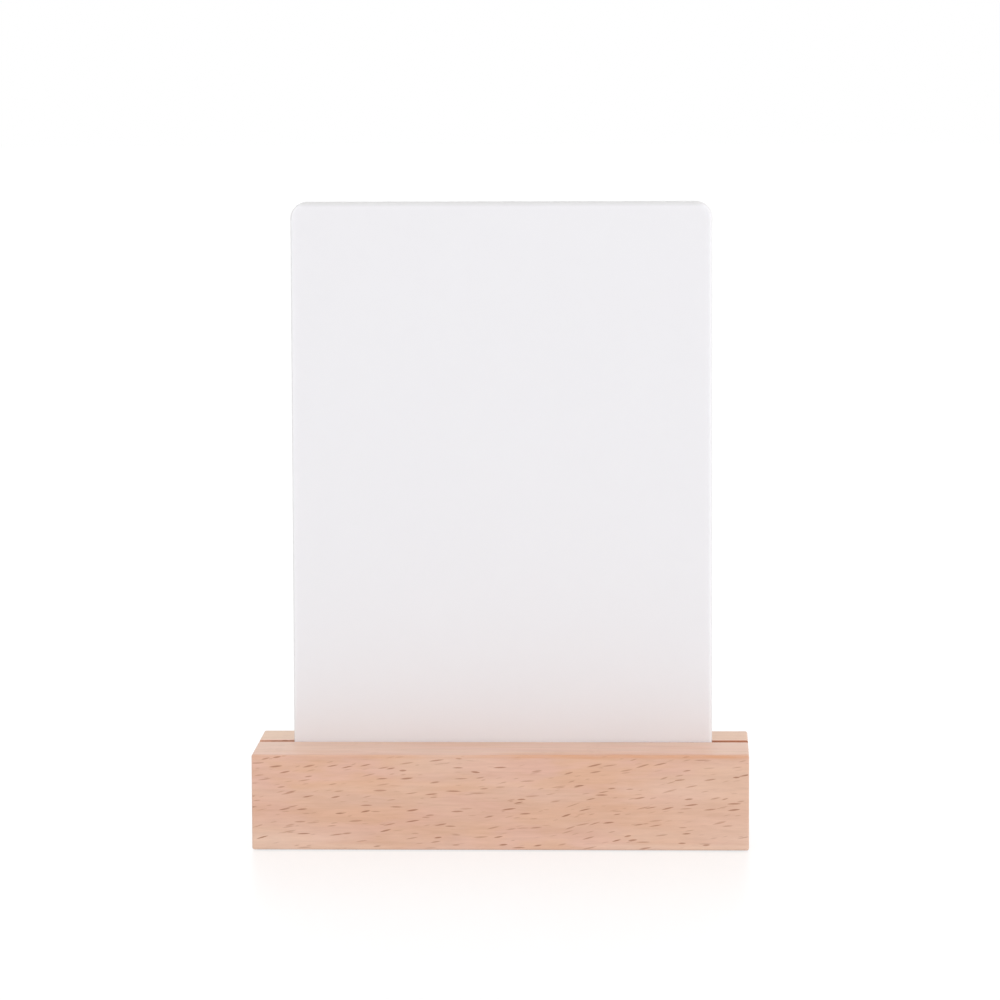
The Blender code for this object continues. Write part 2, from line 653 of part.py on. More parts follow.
def control_board(board_coat, screw_coat, module):
    """The upright board that carries the socket and the switch, screwed to the plate's bosses."""
    bm = bmesh.new()
    outline = rectangle(CONTROL_WIDTH, CONTROL_HEIGHT, POCKET_CORNER - MODULE_PLAY)
    prism(bm, outline, BOARD_BACK, BOARD_FACE)
    board = finish("control_board", bm, board_coat, module)
    through = (BOARD_BACK - OVERRUN, BOARD_FACE + OVERRUN)
    bm = bmesh.new()
    for side in (-1, 1):
        prism(bm, circle(BOARD_SCREW_SHANK + 2 * FIT_GAP), *through, (side * BOSS_X, 0, 0))
    pin_hole = rectangle(PIN_WIDTH + 2 * SOLDER_GAP, PIN_THICKNESS + 2 * SOLDER_GAP)
    for x, y in pin_places():
        prism(bm, pin_hole, *through, (x, y, 0))
    slot = rectangle(SOCKET_LEG_WIDTH + 2 * SOLDER_GAP, SOCKET_WALL + 2 * SOLDER_GAP)
    for x, y in socket_leg_places():
        prism(bm, slot, *through, (x, y, 0))
    cut(board, finish("board_hole_cutter", bm, parent=module))

    sections = pan_head(BOARD_SCREW_HEAD, BOARD_SCREW_HEAD_HEIGHT, BOARD_SCREW_SHANK, BOARD_SCREW_LENGTH)
    places = [(-BOSS_X, 0), (BOSS_X, 0)]
    seat = (0, 0, BOARD_BACK - SOLDER_GAP)
    inward = (0, math.pi, 0)
    screws("board_screw", sections, places, screw_coat, module, seat, inward)


def power_socket(shell_coat, tongue_coat, module):
    """The power inlet: an oval steel shell round a moulding whose tongue carries the contacts."""
    mouth = -SOCKET_SUNK
    back = BOARD_FACE + SOLDER_GAP
    outer = rectangle(SOCKET_WIDTH, SOCKET_HEIGHT, SOCKET_HEIGHT / 2)
    bore_width, bore_height = SOCKET_WIDTH - 2 * SOCKET_WALL, SOCKET_HEIGHT - 2 * SOCKET_WALL
    bore = rectangle(bore_width, bore_height, bore_height / 2)
    bm = bmesh.new()
    loft(bm, [(outer, back), (outer, mouth), (bore, mouth), (bore, back)], (SOCKET_X, 0, 0), ring=True)
    shell = finish("socket_shell", bm, shell_coat, module)
    bm = bmesh.new()
    leg = rectangle(SOCKET_LEG_WIDTH, SOCKET_WALL / 2)
    for x, y in socket_leg_places():
        prism(bm, leg, BOARD_BACK - LEG_REACH, back + OVERRUN, (x, y, 0))
    join(shell, finish("socket_leg_tool", bm, parent=module))

    plug_width, plug_height = bore_width - 2 * SOLDER_GAP, bore_height - 2 * SOLDER_GAP
    plug = rectangle(plug_width, plug_height, plug_height / 2)
    bm = bmesh.new()
    prism(bm, plug, back, back + SOCKET_BASE, (SOCKET_X, 0, 0))
    moulding = finish("socket_tongue", bm, tongue_coat, module)
    bm = bmesh.new()
    tongue = rectangle(TONGUE_WIDTH, TONGUE_THICKNESS)
    prism(bm, tongue, back + SOCKET_BASE / 2, mouth - TONGUE_SETBACK, (SOCKET_X, 0, 0))
    join(moulding, finish("tongue_tool", bm, parent=module))

    bm = bmesh.new()
    top = mouth - 2 * TONGUE_SETBACK
    strip = rectangle(CONTACT_WIDTH, TONGUE_THICKNESS + 2 * CONTACT_PROUD)
    for x in spread(CONTACT_COUNT, CONTACT_PITCH):
        prism(bm, strip, top - CONTACT_LENGTH, top, (SOCKET_X + x, 0, 0))
    join(moulding, finish("contact_tool", bm, parent=module))


def push_switch(body_coat, metal_coat, plunger_coat, spring_coat, cap_coat, module, press):
    """The push switch on the board, and the button on its stem, which stands out of the plate."""
    side = rectangle(SWITCH_SIDE, SWITCH_SIDE, SWITCH_CORNER)
    cavity = rectangle(CAVITY_SIDE, CAVITY_SIDE, SWITCH_CORNER)
    bm = bmesh.new()
    loft(
        bm,
        [(side, HOUSING_BOTTOM), (side, HOUSING_TOP), (cavity, HOUSING_TOP), (cavity, CAVITY_FLOOR)],
        (SWITCH_X, 0, 0),
    )
    housing = finish("switch_housing", bm, body_coat, module)
    bm = bmesh.new()
    pin = rectangle(PIN_WIDTH, PIN_THICKNESS)
    for x, y in pin_places():
        prism(bm, pin, BOARD_BACK - LEG_REACH, CAVITY_FLOOR - SWITCH_WALL / 2, (x, y, 0))
    join(housing, finish("pin_tool", bm, parent=module))

    stem_hole = circle(STEM_DIAMETER + 2 * FIT_GAP)
    lid = rectangle(SWITCH_SIDE, SWITCH_SIDE, SWITCH_CORNER)
    bottom = LID_TOP - LID_THICKNESS
    sections = [(lid, bottom), (lid, LID_TOP), (stem_hole, LID_TOP), (stem_hole, bottom)]
    bm = bmesh.new()
    loft(bm, sections, (SWITCH_X, 0, 0), ring=True)
    finish("switch_lid", bm, metal_coat, module)

    flange_side = CAVITY_SIDE - 2 * FLANGE_PLAY
    flange, stem = rectangle(flange_side, flange_side, SWITCH_CORNER), circle(STEM_DIAMETER)
    flange_bottom = FLANGE_TOP - FLANGE_THICKNESS
    stem_end = LID_TOP + STEM_REACH
    bm = bmesh.new()
    loft(bm, [(flange, flange_bottom), (flange, FLANGE_TOP), (stem, FLANGE_TOP), (stem, stem_end)])
    finish("switch_plunger", bm, plunger_coat, press)

    room = flange_bottom - CAVITY_FLOOR - SPRING_WIRE - 2 * SOLDER_GAP
    low = CAVITY_FLOOR + SPRING_WIRE / 2 + SOLDER_GAP
    route = []
    for step in range(SPRING_TURNS * COIL_STEPS + 1):
        turn = 2 * math.pi * step / COIL_STEPS
        rise = room * step / (SPRING_TURNS * COIL_STEPS)
        x, y = SPRING_DIAMETER / 2 * math.cos(turn), SPRING_DIAMETER / 2 * math.sin(turn)
        route.append(Vector((SWITCH_X + x, y, low + rise)))
    tube("switch_spring", route, SPRING_WIRE, spring_coat, module, resolution=1)

    socket = circle(STEM_DIAMETER + 2 * SOLDER_GAP)
    bm = bmesh.new()
    loft(
        bm,
        [
            (socket, stem_end + SOLDER_GAP),
            (socket, BUTTON_BACK),
            (circle(BUTTON_DIAMETER), BUTTON_BACK),
            (circle(BUTTON_DIAMETER), BUTTON_PROUD - BUTTON_EDGE),
            (circle(BUTTON_DIAMETER - BUTTON_EDGE), BUTTON_PROUD - BUTTON_EDGE / 4),
            (circle(BUTTON_DIAMETER - 2 * BUTTON_EDGE), BUTTON_PROUD),
            (circle(BUTTON_DIAMETER - 4 * BUTTON_EDGE), BUTTON_PROUD - BUTTON_DISH / 2),
            (circle(BUTTON_DIAMETER / 2), BUTTON_PROUD - BUTTON_DISH),
        ],
    )
    finish("button_cap", bm, cap_coat, press, smooth=35)


def board_parts(chip_coat, capacitor_coat, module):
    """On the inner face of the board, the chip above the socket and the capacitor between the pins."""
    foot = BOARD_BACK - SOLDER_GAP
    bm = bmesh.new()
    body = rectangle(CHIP_LENGTH, CHIP_WIDTH)
    prism(bm, body, foot - CHIP_HEIGHT, foot - CHIP_LEG_THICKNESS / 2, (SOCKET_X, CHIP_RISE, 0))
    chip = finish("driver_chip", bm, chip_coat, module)
    ease(chip, CHIP_EDGE, segments=1)
    bm = bmesh.new()
    for x in spread(CHIP_LEG_COUNT, CHIP_LEG_PITCH):
        leg = rectangle(CHIP_LEG_WIDTH, CHIP_LEG_SPREAD)
        prism(bm, leg, foot - CHIP_LEG_THICKNESS, foot, (SOCKET_X + x, CHIP_RISE, 0))
    join(chip, finish("chip_leg_tool", bm, parent=module))

    bm = bmesh.new()
    outline = rectangle(CAPACITOR_LENGTH, CAPACITOR_WIDTH)
    prism(bm, outline, foot - CAPACITOR_HEIGHT, foot, (SWITCH_X, 0, 0))
    ease(finish("input_capacitor", bm, capacitor_coat, module), CHIP_EDGE, segments=1)


def leads(coats):
    """Two leads from the control board, through the pockets, to the underside of the LED board."""
    board_y = PLATE_Y + BOARD_BACK - SOLDER_GAP
    solder_z = MODULE_Z - CONTROL_HEIGHT / 2 + LEAD_DIAMETER
    beside_post = (POST_DIAMETER + LEAD_DIAMETER) / 2 + SEAT_GAP
    end_x = -LED_BOARD_LENGTH / 2 + LEAD_END
    low_z = LED_BOARD_BOTTOM - LEAD_SAG
    for row, (name, coat) in enumerate(coats.items()):
        start_x = (row - 0.5) * LEAD_SPACING
        run_y = GROOVE_Y + beside_post + (1 - row) * (LEAD_DIAMETER + SEAT_GAP)
        turn_x = start_x - 2 * LEAD_SAG
        route = [
            Vector((start_x, board_y, solder_z)),
            Vector((start_x, board_y - LEAD_DIAMETER / 2, solder_z)),
            Vector((start_x, board_y - LEAD_DIAMETER, solder_z)),
            Vector((turn_x, run_y, low_z)),
            Vector((end_x / 2, run_y, low_z)),
            Vector((end_x + LEAD_SAG, run_y, low_z)),
            Vector((end_x, run_y, LED_BOARD_BOTTOM - LEAD_DIAMETER)),
            Vector((end_x, run_y, LED_BOARD_BOTTOM - LEAD_DIAMETER / 2)),
            Vector((end_x, run_y, LED_BOARD_BOTTOM - SOLDER_GAP)),
        ]
        tube(name, smooth_route(route), LEAD_DIAMETER, coat)


def build():
    clear_scene()
    beech = material("beech", (0.66, 0.42, 0.27), 0.55)
    acrylic = material("white_acrylic", (0.86, 0.86, 0.87), 0.3)
    rubber = material("clear_rubber", (0.75, 0.75, 0.74), 0.6)
    white_plastic = material("white_plastic", (0.8, 0.8, 0.79), 0.4)
    black_plastic = material("black_plastic", (0.03, 0.03, 0.03), 0.45)
    steel = material("steel", (0.62, 0.62, 0.63), 0.3, metallic=1.0)
    white_board = material("white_solder_mask", (0.82, 0.83, 0.81), 0.35)
    green_board = material("green_solder_mask", (0.02, 0.16, 0.07), 0.35)
    phosphor = material("phosphor_gel", (0.9, 0.72, 0.15), 0.4)
    ceramic = material("capacitor_ceramic", (0.45, 0.3, 0.18), 0.5)
    red_pvc = material("red_pvc", (0.55, 0.03, 0.02), 0.45)
    black_pvc = material("black_pvc", (0.02, 0.02, 0.02), 0.45)

    module = add("control_module", None, location=(0, PLATE_Y, MODULE_Z), rotation=FACING_REAR)
    press = add("button_press", None, parent=module, location=(SWITCH_X, 0, 0))
    lift = add("panel_lift", None, location=(0, GROOVE_Y, GROOVE_FLOOR + SEAT_GAP))

    block = base_block(beech)
    cut_block_for_module(block, module)
    light_panel(acrylic, lift)
    feet(rubber)
    bottom_cover(white_plastic, steel)
    led_strip(white_board, phosphor, black_plastic)
    rear_plate(white_plastic, steel, module)
    control_board(green_board, steel, module)
    power_socket(steel, black_plastic, module)
    push_switch(black_plastic, steel, white_plastic, steel, white_plastic, module, press)
    board_parts(black_plastic, ceramic, module)
    leads({"lead_red": red_pvc, "lead_black": black_pvc})


build()
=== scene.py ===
"""Looks of the acrylic night light: oiled beech, milky acrylic and the works inside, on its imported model.

Everything is in metres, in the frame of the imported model: the front faces -Y and the table is at z = 0.
In the materials, places and lengths without the factor MM are in millimetres of the same frame, and waves
are counted per millimetre along X, Y and Z. A step is the pair of values between which a mask goes from
none to full, and shares are parts of 1.
"""

import json
import math

import bmesh
import bpy
from mathutils import Matrix, Vector


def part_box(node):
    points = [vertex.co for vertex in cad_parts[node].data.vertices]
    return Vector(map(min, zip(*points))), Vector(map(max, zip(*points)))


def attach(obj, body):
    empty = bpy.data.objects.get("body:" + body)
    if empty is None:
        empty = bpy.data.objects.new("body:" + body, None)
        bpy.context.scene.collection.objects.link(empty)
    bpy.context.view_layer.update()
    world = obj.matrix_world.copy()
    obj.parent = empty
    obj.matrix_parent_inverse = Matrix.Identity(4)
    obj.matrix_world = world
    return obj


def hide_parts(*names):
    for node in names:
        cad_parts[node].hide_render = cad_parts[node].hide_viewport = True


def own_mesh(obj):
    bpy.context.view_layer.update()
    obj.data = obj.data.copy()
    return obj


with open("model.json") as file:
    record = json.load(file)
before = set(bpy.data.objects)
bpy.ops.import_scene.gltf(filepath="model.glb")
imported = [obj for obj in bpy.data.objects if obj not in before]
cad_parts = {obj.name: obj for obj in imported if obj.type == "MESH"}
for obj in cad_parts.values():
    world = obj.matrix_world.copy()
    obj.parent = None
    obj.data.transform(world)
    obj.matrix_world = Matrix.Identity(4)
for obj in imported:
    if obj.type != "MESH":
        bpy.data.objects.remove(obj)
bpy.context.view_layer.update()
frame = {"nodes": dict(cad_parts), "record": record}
bpy.context.scene.view_settings.view_transform = "Standard"

MM = 0.001

# Camera of the photograph, and its frame
PHOTO_PIXELS = 1000
FOCAL_PIXELS = 5212
SENSOR_WIDTH = 36.0  # in Blender's millimetres
CAMERA_PLACE = (55.8 * MM, -1577.2 * MM, 267.5 * MM)
CAMERA_PITCH = math.radians(5.917)
CAMERA_YAW = math.radians(2.046)
CAMERA_ROLL = math.radians(-0.218)
CAMERA_SIGHT = 24.0

# Studio
STUDIO_REACH = 6.0
SKY_STRENGTH = 0.89
LAMP_TARGET = (0.0, 0.0, 0.08)
KEY_PLACE = (0.0, -1.3, 0.9)
KEY_SIDE = 1.2
KEY_POWER = 3.3
SIDE_PLACE = (1.4, 0.0, 0.35)
SIDE_SIDE = 0.6
SIDE_POWER = 3.5
FLOOR_STEPS = 96
FLOOR_GLOW = 1.065
FLOOR_SHADOW_SHARE = 0.12
FLOOR_GLOSS_SHARE = 0.22
FLOOR_ROUGHNESS = 0.36
FLOOR_GAP = 0.02 * MM

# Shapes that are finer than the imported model's
PANEL_CORNER = 5.0 * MM
PANEL_CORNER_STEPS = 14
PANEL_EDGE = 0.8 * MM
PANEL_EDGE_SEGMENTS = 5
CUT_EDGE = 0.12 * MM
CUT_EDGE_SEGMENTS = 2
EASED_SLOTS = ("beech", "white_plastic")
EASED_ANGLE = math.radians(40)
SMOOTH_ANGLE = math.radians(35)
FLAT_ANGLE = math.radians(1)
MERGE_GAP = 0.0001 * MM
LED_GEL_SUNK = 0.1 * MM
FACES_UP = 0.9  # least Z of the normal of a face that counts as facing up
TONGUE_HALF_THICKNESS = 0.36 * MM
TONGUE_REACH = 0.5 * MM

# Corners of the panel's box
PANEL_LOW, PANEL_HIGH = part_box("light_panel")

# Places on the wood and the acrylic, in millimetres
PANEL_TOP = PANEL_HIGH.z / MM
PANEL_SEAT_GAP = 0.3  # between the panel and the groove's floor
GROOVE_MIDDLE = (PANEL_LOW.y + PANEL_HIGH.y) / 2 / MM
GROOVE_FLOOR = PANEL_LOW.z / MM - PANEL_SEAT_GAP
WOOD_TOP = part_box("base_block")[1].z / MM

# Masks
NOISE_STEP = (0.3, 0.7)
FACING_STEP = (0.75, 0.97)
RIGHTWARD_STEP = (0.0, 60.0)  # in X

# Beech: patches of colour, with painted light from the floor low on the front, and painted sheen and painted
# light on the top
PATCH_SHIFT = (50.0, 0.0, 0.0)
PATCH_WAVES = (0.018, 0.1, 0.08)
PATCH_STEP = (0.38, 0.62)
PATCH_SHARE = 0.75
WARMTH_WAVES = (0.05, 0.22, 0.19)
WARMTH_STEP = (0.36, 0.64)
# Painted light from the white floor, low on the front and strongest at the lower corners, and painted sheen
# on the top towards the ends
PAINTED_LIGHT_MIDDLE = 12.0  # in X
PAINTED_LIGHT_OUTWARD_STEP = (34.0, 84.0)
PAINTED_LIGHT_DOWNWARD_STEP = (15.0, 1.0)
PAINTED_LIGHT_LEAST_SHARE = 0.3
CORNER_LIGHT_SHARE = 0.75
TOP_SHEEN_SHARES = (0.14, 0.34)  # in the middle and at the ends
# Painted light from the white floor along the front's foot, towards both ends
FOOT_LIGHT_MIDDLE = -3.0  # in X
FOOT_LIGHT_OUTWARD_STEP = (18.0, 40.0)
FOOT_LIGHT_DOWNWARD_STEP = (3.5, 1.5)
FOOT_LIGHT_SHARE = 0.65
# Painted light on the top behind the groove, where the panel shades it, less of it towards the right
REAR_LIGHT_STEP = (5.0, 8.0)  # in Y
REAR_LIGHT_SHARE = 0.6
CORE_HEIGHT = 10.8
CORE_HALF_HEIGHT = 4.5
CORE_BLUR = 3.5
CORE_SHARE = 0.24

# Beech: growth rings and fibres
RING_CENTRE = (96.0, 2.0)  # in Y and Z
RING_WIDTH = 2.6
RING_SHARES = (0.07, 0.03)  # elsewhere, and on the front and back
LATE_WOOD_STEP = (0.45, 0.93)
RING_END_STEP = (1.0, 0.95)
SWAY_WAVES = (0.012, 0.02, 0.05)
SWAY_REACH = 7.0
FIBRE_WAVES = (0.12, 1.3, 1.3)
FIBRE_TONES = (0.95, 1.05)
STREAK_WAVES = (0.02, 0.9, 0.5)
STREAK_STEP = (0.55, 0.75)
STREAK_SHARE = 0.025
BAND_WAVES = (0.045, 0.42, 0.3)
BAND_RANGE = (-0.5, 0.5)
BAND_SHARES = (0.1, 0.06)  # elsewhere, and on the front and back
RED_POWER = 0.8
BLUE_POWER = 1.2
BEECH_ROUGHNESS = (0.5, 0.6)
TOP_POLISH = 0.13
FIBRE_RELIEF_SHARE = 0.4
BEECH_RELIEF = 0.03 * MM

# Beech: ends of the rays, one slim lens in each cell of a set, sized by chance between two values
RAY_SETS = (
    {
        "shift": 0.0,
        "cell": (7.6, 4.4),
        "half_lengths": (1.2, 2.6),
        "half_widths": (0.17, 0.27),
        "shares": (0.4, 1.0),
    },
    {
        "shift": 431.7,
        "cell": (9.3, 6.1),
        "half_lengths": (1.1, 2.4),
        "half_widths": (0.15, 0.25),
        "shares": (0.3, 1.0),
    },
    {
        "shift": 87.3,
        "cell": (5.6, 3.1),
        "half_lengths": (0.7, 1.6),
        "half_widths": (0.12, 0.18),
        "shares": (0.0, 0.5),
    },
)
RAY_SCATTER = 0.8
RAY_TILTS = (0.03, 0.24)
RAY_RIM_STEP = (-0.05, 0.1)
RAY_SECOND_CHANCE = 7.3  # makes another chance out of one, as the fraction of its product
RAY_SHARES = (0.08, 0.88)  # elsewhere, and on the front and back
RAY_END_GRAIN_SHARE = 0.04
RAY_TINT_WAVES = (0.05, 0.3, 0.3)
WANDER_WAVES = (0.03, 0.14, 0.03)
WANDER_REACH = 5.0
END_LINE_WAVES = (2.0, 0.1, 2.4)
END_LINE_STEP = (0.35, 0.7)
END_LINE_SHARES = (0.12, 0.42)

# Beech: uneven orange band along the upper front edge, painted highlight on the groove's lips and painted
# shade on its walls, with depths below the top
EDGE_BAND_DEPTH_STEP = (1.6, 0.5)
EDGE_BAND_FRONT_STEP = (-20.5, -23.2)  # in Y
EDGE_BAND_WAVES = (0.08, 1.0, 0.9)
EDGE_BAND_STEP = (0.3, 0.65)
EDGE_BAND_SHARES = (0.4, 1.0)
EDGE_BAND_RIGHT_STEP = (-20.0, 32.0)  # in X
EDGE_BAND_RIGHT_SHARES = (0.25, 1.0)
LIP_OFFSET = 2.5  # from the groove's middle
# Painted highlight along the groove's lips, near the top
LIP_HIGHLIGHT_HALF_WIDTH = 0.25
LIP_HIGHLIGHT_BLUR = 0.1
LIP_HIGHLIGHT_DEPTH_STEP = (0.36, 0.26)
LIP_HIGHLIGHT_SHARE = 0.6
GROOVE_HALF_WIDTH = 2.35  # with most of its chamfered lips
GROOVE_BLUR = 0.02
# Painted shade on the groove's walls, from a depth below the top down to near its floor
GROOVE_SHADE_DEPTHS = (0.31, 0.08)  # where it begins, at the left and at the right
GROOVE_SHADE_STEP = (-0.05, 0.05)
GROOVE_SHADE_FLOOR_STEP = (-0.2, -0.1)  # from the groove's floor
GROOVE_SHADE_WAVES = (0.08, 1.0, 0.6)
GROOVE_SHADE_SHARES = (0.55, 0.85)

# Acrylic
MILK_WAVES = (0.03, 0.03, 0.03)
MILK_DEPTH = 1.0 * MM
MILK_RADIUS = (1.0, 1.0, 1.0)  # alike in red, green and blue, in milk depths
SATIN_WAVES = (2.0, 2.0, 2.0)
SATIN_ROUGHNESS = (0.33, 0.39)
ACRYLIC_IOR = 1.49
# Painted shade on the panel's rounded edges, at the sides and along the top
EDGE_SHADE_SIDE_STEP = (0.98, 0.6)
EDGE_SHADE_SIDE_SHARES = (0.0, 0.6)
EDGE_SHADE_TOP_STEP = (1.7, 0.1)
EDGE_SHADE_TOP_SHARES = (0.0, 0.8)

# Plastic, rubber and ceramic
GRAIN_WAVES = 4.0
LEAD_GRAIN_WAVES = 1.5
GRAIN_ROUGHNESS = 0.06
GRAIN_RELIEF = 0.01 * MM
CLOUD_WAVES = (0.25, 0.25, 0.25)
CLOUD_SHARE = 0.985
RUBBER_DEPTH = 1.0 * MM
GEL_DEPTH = 0.5 * MM

# Plated metal
DRAWN_WAVES = (9.0, 1.2, 9.0)
DRAWN_ROUGHNESS = 0.08
DRAWN_RELIEF = 0.004 * MM
PLATING_WAVES = (0.8, 0.8, 0.8)
PLATING_SHARE = 0.86

# Circuit boards
MASK_WAVES = (2.0, 2.0, 2.0)
MASK_GRAIN_SHARE = 0.2
BOARD_RELIEF = 0.03 * MM
LED_PITCH = (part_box("led_02")[0].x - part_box("led_01")[0].x) / MM
PAD_OFFSET = 1.9  # from the LED's middle
PAD_HALF_LENGTH = 0.75
PAD_HALF_WIDTH = 1.3
PAD_BLUR = 0.02
LED_RUN_OFFSET = 3.2  # from the middle of the board
LED_RUN_HALF_WIDTH = 0.8
LED_RUN_BLUR = 0.05
LED_RUN_SHARE = 0.6
LED_BOARD_SHADE = 0.9
LED_BOARD_ROUGHNESS = (0.3, 0.4)
CONTROL_CELLS = 0.4  # along a millimetre
CONTROL_SCATTER = 0.6
CONTROL_RUNS = 3.0  # across a cell
CONTROL_RUN_STEP = (0.42, 0.5)
CONTROL_SHADE = 1.7
CONTROL_ROUGHNESS = (0.28, 0.38)


def colour(red, green, blue):
    """A colour as the screen shows it, from 0 to 255, as its linear value."""
    def linear(share):
        return share / 12.92 if share <= 0.04045 else ((share + 0.055) / 1.055) ** 2.4

    return (linear(red / 255), linear(green / 255), linear(blue / 255), 1.0)


def shaded(tint, share):
    """The tint, darker or lighter by a share."""
    return tuple(share * channel for channel in tint[:3]) + (1.0,)


BEECH = colour(223, 186, 164)
# Painted light from the floor, and painted sheen on the top
BEECH_PAINTED_LIGHT = colour(231, 199, 179)
BEECH_ORANGE = colour(220, 175, 147)
BEECH_PINK = colour(222, 178, 159)
BEECH_CORE = colour(216, 168, 141)
# Painted light on the top behind the groove, at the left and at the right
BEECH_REAR_LIGHT = colour(229, 195, 165)
BEECH_REAR_LIGHT_RIGHT = colour(225, 185, 154)
BEECH_RAY = colour(170, 114, 86)
BEECH_RAY_DARK = colour(154, 108, 80)
BEECH_EDGE = colour(217, 160, 124)
# Painted highlight on the groove's lips
BEECH_LIP_HIGHLIGHT = colour(244, 215, 200)
# Painted shade in the groove, at the left and, darker, at the right
BEECH_GROOVE_SHADE = colour(203, 134, 98)
BEECH_GROOVE_DEEP_SHADE = colour(184, 108, 68)
ACRYLIC = colour(240, 239, 242)
ACRYLIC_CLOUD = colour(241, 240, 243)
# Painted shade on the panel's edges
ACRYLIC_EDGE_SHADE = colour(213, 212, 211)
PLASTIC_WHITE = colour(236, 236, 233)
PLASTIC_BLACK = colour(38, 38, 39)
RUBBER = colour(206, 206, 202)
NICKEL = colour(205, 204, 200)
ZINC = colour(196, 198, 202)
GOLD = colour(226, 184, 104)
TIN = colour(200, 200, 198)
MASK_WHITE = colour(234, 235, 230)
MASK_GREEN = colour(28, 92, 58)
PHOSPHOR = colour(240, 206, 84)
CERAMIC = colour(168, 136, 104)
PVC_RED = colour(186, 34, 28)
PVC_BLACK = colour(30, 30, 31)
WHITE = (1.0, 1.0, 1.0, 1.0)
FLOOR_GREY = (0.9, 0.9, 0.9, 1.0)


class Surface:
    """A material under construction, whose calls add shader nodes and mostly return an output."""

    def __init__(self, name):
        self.material = bpy.data.materials.new(name)
        self.material.use_nodes = True
        self.tree = self.material.node_tree
        self.shader = self.tree.nodes["Principled BSDF"]

    def feed(self, socket, value):
        if isinstance(value, bpy.types.NodeSocket):
            self.tree.links.new(value, socket)
        else:
            socket.default_value = value

    def node(self, kind, inputs=(), **settings):
        made = self.tree.nodes.new(kind)
        for name, value in settings.items():
            setattr(made, name, value)
        for name, value in dict(inputs).items():
            self.feed(made.inputs[name], value)
        return made

    def set(self, **values):
        """Values or outputs for the shader's sockets, whose names have underscores for spaces here."""
        for name, value in values.items():
            self.feed(self.shader.inputs[name.replace("_", " ")], value)

    def math(self, operation, *values):
        return self.node("ShaderNodeMath", enumerate(values), operation=operation).outputs[0]

    def plus(self, first, second):
        return self.math("ADD", first, second)

    def less(self, first, second):
        return self.math("SUBTRACT", first, second)

    def times(self, first, second):
        return self.math("MULTIPLY", first, second)

    def over(self, first, second):
        return self.math("DIVIDE", first, second)

    def most(self, first, second):
        return self.math("MAXIMUM", first, second)

    def away(self, value, middle=0.0):
        """How far the value is from the middle, to either side."""
        return self.math("ABSOLUTE", self.less(value, middle))

    def vector(self, operation, *values):
        return self.node("ShaderNodeVectorMath", enumerate(values), operation=operation).outputs[0]

    def ramp(self, value, step, ends=(0.0, 1.0)):
        """From the first of the ends to the second, smoothly, as the value goes through the step."""
        inputs = {
            "Value": value,
            "From Min": step[0],
            "From Max": step[1],
            "To Min": ends[0],
            "To Max": ends[1],
        }
        return self.node("ShaderNodeMapRange", inputs, interpolation_type="SMOOTHSTEP").outputs[0]

    def between(self, share, ends):
        """From the first of the ends to the second, evenly, as the share goes from 0 to 1."""
        inputs = {"Value": share, "To Min": ends[0], "To Max": ends[1]}
        return self.node("ShaderNodeMapRange", inputs).outputs[0]

    def band(self, distance, half_width, blur):
        """1 up to the half width, and 0 beyond it."""
        return self.ramp(distance, (half_width + blur, half_width - blur))

    def noise(self, point, waves, detail=2.0, roughness=0.5):
        inputs = {
            "Vector": self.vector("MULTIPLY", point, waves),
            "Scale": 1.0,
            "Detail": detail,
            "Roughness": roughness,
        }
        return self.node("ShaderNodeTexNoise", inputs).outputs["Fac"]

    def clouds(self, point, waves, step=NOISE_STEP, ends=(0.0, 1.0), **settings):
        """Soft patches, of the first end between them and of the second inside."""
        return self.ramp(self.noise(point, waves, **settings), step, ends)

    def mix(self, share, first, second, blend="MIX"):
        """The first colour, with a share of the second. The node's sockets 6 and 7 are those for colours."""
        made = self.node("ShaderNodeMix", data_type="RGBA", blend_type=blend)
        self.feed(made.inputs[0], share)
        self.feed(made.inputs[6], first)
        self.feed(made.inputs[7], second)
        return made.outputs[2]

    def place(self):
        """The point on the surface, in millimetres."""
        point = self.node("ShaderNodeTexCoord").outputs["Object"]
        inputs = {0: point, "Scale": 1 / MM}
        return self.node("ShaderNodeVectorMath", inputs, operation="SCALE").outputs[0]

    def facing(self):
        """How far the surface faces along each axis, from 0 to 1."""
        normal = self.node("ShaderNodeTexCoord").outputs["Normal"]
        return self.split(self.vector("ABSOLUTE", normal))

    def split(self, vector):
        return self.node("ShaderNodeSeparateXYZ", {0: vector}).outputs

    def join(self, x, y, z=0.0):
        return self.node("ShaderNodeCombineXYZ", {0: x, 1: y, 2: z}).outputs[0]

    def bump(self, height, relief):
        """Relief in which a height of 1 stands for the relief's depth."""
        inputs = {"Height": height, "Distance": relief, "Strength": 1.0}
        self.set(Normal=self.node("ShaderNodeBump", inputs).outputs[0])


class Spot:
    """A point on the beech block, and the way that the surface faces there."""

    def __init__(self, surface):
        self.point = surface.place()
        self.x, self.y, self.z = surface.split(self.point)
        along_x, along_y, self.along_z = surface.facing()
        self.on_front = surface.ramp(along_y, FACING_STEP)
        self.on_end = surface.ramp(along_x, FACING_STEP)
        self.rightward = surface.ramp(self.x, RIGHTWARD_STEP)
        self.depth = surface.less(WOOD_TOP, self.z)


